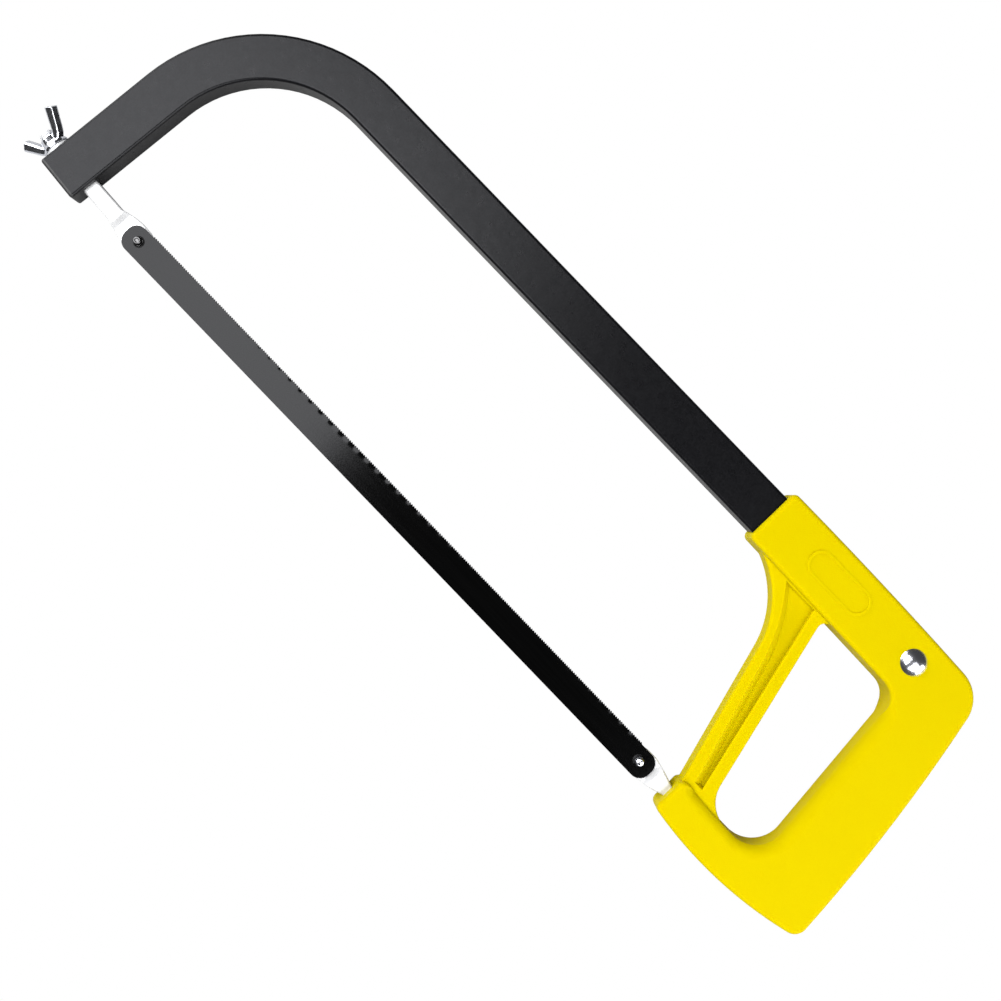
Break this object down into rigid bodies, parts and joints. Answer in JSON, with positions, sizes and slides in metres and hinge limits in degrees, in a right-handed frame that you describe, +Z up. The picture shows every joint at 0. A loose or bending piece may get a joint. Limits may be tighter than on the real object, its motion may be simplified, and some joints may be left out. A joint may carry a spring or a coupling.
{
  "type": "hacksaw",
  "caption": "Hacksaw with a bent rectangular tube frame, a moulded closed handle, and a blade held on pins and drawn tight by a square draw bolt with a wing nut.",
  "frame": {"origin": "under the middle of the saw's bounding box, on the surface that it lies on", "axes": "+X along the blade from the wing nut to the handle, +Y from the blade to the backbone, +Z up through the saw's thickness, with the saw lying on the flat reverse side of its handle"},
  "size_m": [0.4614, 0.1336, 0.0224],
  "materials": {
    "tube_coat": "satin black powder coat",
    "blade_steel": "satin black oxide and lacquer",
    "zinc": "bright zinc plate",
    "rivet_chrome": "bright nickel plate",
    "handle_yellow": "semi-gloss moulded plastic",
    "plug_black": "satin black moulded plastic"
  },
  "bodies": {
    "frame": {"frame_tube": "tube_coat", "tube_end_plug": "plug_black", "tension_washer": "zinc", "handle": "handle_yellow", "rear_blade_holder": "zinc", "rear_blade_pin": "zinc", "handle_rivet": "rivet_chrome", "rivet_washer": "zinc"},
    "draw_bolt_body": {"draw_bolt": "zinc", "front_blade_pin": "zinc"},
    "wing_nut_body": {"wing_nut": "zinc"},
    "blade_body": {"blade": "blade_steel"}
  },
  "joints": [
    {"name": "wing_nut_spin", "type": "hinge", "parent": "frame", "child": "wing_nut_body", "pos_m": [-0.21684, -0.05367, 0.01], "axis": [-0.9988, 0.0489, 0], "range_deg": [0, 320]},
    {"name": "draw_bolt_slide", "type": "slide", "parent": "frame", "child": "draw_bolt_body", "axis": [0.9988, -0.0489, 0], "range_m": [0, 0.0009]},
    {"name": "blade_lift", "type": "slide", "parent": "frame", "child": "blade_body", "axis": [0, 0, 1], "range_m": [0, 0.015]}
  ],
  "couplings": [
    {"joint": "draw_bolt_slide", "follows": "wing_nut_spin", "m_per_rad": 0.00015915}
  ]
}
